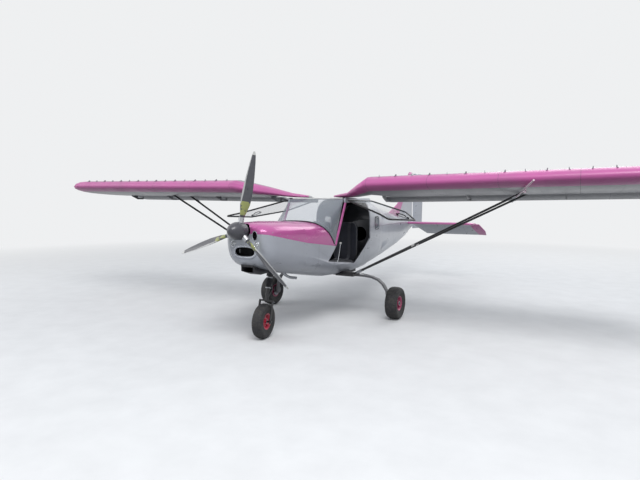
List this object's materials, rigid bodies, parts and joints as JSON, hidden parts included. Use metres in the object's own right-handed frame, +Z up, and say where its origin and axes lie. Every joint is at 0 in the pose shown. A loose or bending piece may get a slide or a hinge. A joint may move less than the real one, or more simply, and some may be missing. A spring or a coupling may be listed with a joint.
{
  "type": "ultralight_aircraft",
  "caption": "High-wing strut-braced two-seat ultralight aircraft parked on its tricycle gear, with top-hinged doors open, moving control surfaces and a turning propeller.",
  "frame": {"origin": "Centre of the bounding box, on the ground under the wheels.", "axes": "+X to port, along the wing span; +Y aft, from nose to tail; +Z up."},
  "size_m": [8.98, 6.6555, 2.285],
  "materials": {
    "silver_paint": "gloss",
    "magenta_paint": "gloss",
    "grey_skin": "satin",
    "black_paint": "satin",
    "black_plastic": "matte",
    "bare_metal": "satin",
    "chrome": "gloss",
    "tyre": "matte",
    "glass": "gloss",
    "seat_cloth": "matte",
    "engine_metal": "matte"
  },
  "bodies": {
    "airframe": {"cowl_upper": "magenta_paint", "cowl_lower": "silver_paint", "chin_scoop": "black_plastic", "landing_light_port": "chrome", "landing_light_starboard": "chrome", "engine_block": "engine_metal", "firewall": "bare_metal", "scuttle": "magenta_paint", "cabin_tub": "silver_paint", "windscreen": "glass", "front_post_port": "magenta_paint", "front_post_starboard": "magenta_paint", "cabin_roof": "silver_paint", "rear_cabin": "silver_paint", "rear_window_port": "glass", "rear_window_starboard": "glass", "tail_cone": "silver_paint", "instrument_panel": "black_plastic", "seat_port": "seat_cloth", "seat_starboard": "seat_cloth", "control_column": "black_plastic", "wing_port": "grey_skin", "wing_starboard": "grey_skin", "front_strut_port": "black_paint", "rear_strut_port": "black_paint", "front_strut_starboard": "black_paint", "rear_strut_starboard": "black_paint", "strut_bracket_port": "black_paint", "strut_bracket_starboard": "black_paint", "air_probe": "bare_metal", "main_gear_bow": "bare_metal", "nose_leg_socket": "black_plastic", "stabiliser": "magenta_paint", "fin": "magenta_paint"},
    "propeller": {"propeller_hub": "bare_metal", "spinner": "black_plastic", "propeller_shaft": "bare_metal", "propeller_blade_1": "black_plastic", "propeller_blade_2": "black_plastic", "propeller_blade_3": "black_plastic"},
    "nose_fork": {"nose_leg": "black_paint"},
    "nose_wheel": {"nose_rim": "magenta_paint", "nose_tyre": "tyre"},
    "main_wheel_port": {"main_port_rim": "magenta_paint", "main_port_tyre": "tyre"},
    "main_wheel_starboard": {"main_starboard_rim": "magenta_paint", "main_starboard_tyre": "tyre"},
    "door_port": {"door_frame_port": "black_paint", "door_pane_port": "glass"},
    "door_starboard": {"door_frame_starboard": "black_paint", "door_pane_starboard": "glass"},
    "flaperon_port": {"flaperon_port": "grey_skin"},
    "flaperon_starboard": {"flaperon_starboard": "grey_skin"},
    "elevator": {"elevator": "silver_paint"},
    "rudder": {"rudder": "silver_paint"}
  },
  "joints": [
    {"name": "propeller_spin", "type": "hinge", "parent": "airframe", "child": "propeller", "pos_m": [0, -3.15, 1.3], "axis": [0, 0.9976, -0.0698], "continuous": true},
    {"name": "nose_steer", "type": "hinge", "parent": "airframe", "child": "nose_fork", "pos_m": [0, -2.699, 0.207], "axis": [0, 0.2498, 0.9683], "range_deg": [-28, 12]},
    {"name": "nose_wheel_spin", "type": "hinge", "parent": "nose_fork", "child": "nose_wheel", "pos_m": [0, -2.699, 0.207], "axis": [0.9903, 0.1348, -0.0348], "continuous": true},
    {"name": "main_wheel_port_spin", "type": "hinge", "parent": "airframe", "child": "main_wheel_port", "pos_m": [1.032, -0.997, 0.2245], "axis": [1, 0, 0], "continuous": true},
    {"name": "main_wheel_starboard_spin", "type": "hinge", "parent": "airframe", "child": "main_wheel_starboard", "pos_m": [-1.032, -0.997, 0.2245], "axis": [1, 0, 0], "continuous": true},
    {"name": "door_port_swing", "type": "hinge", "parent": "airframe", "child": "door_port", "pos_m": [0.493, -1.43, 1.645], "axis": [0, 1, 0], "range_deg": [0, 73]},
    {"name": "door_starboard_swing", "type": "hinge", "parent": "airframe", "child": "door_starboard", "pos_m": [-0.493, -1.43, 1.645], "axis": [0, -1, 0], "range_deg": [0, 73]},
    {"name": "flaperon_port_tilt", "type": "hinge", "parent": "airframe", "child": "flaperon_port", "pos_m": [0.83, -0.935, 1.63962], "axis": [0.9999, 0, 0.014], "range_deg": [-16, 26]},
    {"name": "flaperon_starboard_tilt", "type": "hinge", "parent": "airframe", "child": "flaperon_starboard", "pos_m": [-0.83, -0.935, 1.63962], "axis": [0.9999, 0, -0.014], "range_deg": [-16, 26]},
    {"name": "elevator_tilt", "type": "hinge", "parent": "airframe", "child": "elevator", "pos_m": [0, 2.625, 1.213], "axis": [1, 0, 0], "range_deg": [0, 62]},
    {"name": "rudder_turn", "type": "hinge", "parent": "airframe", "child": "rudder", "pos_m": [0, 2.915, 1.2], "axis": [0, 0, 1], "range_deg": [-10, 40]}
  ]
}
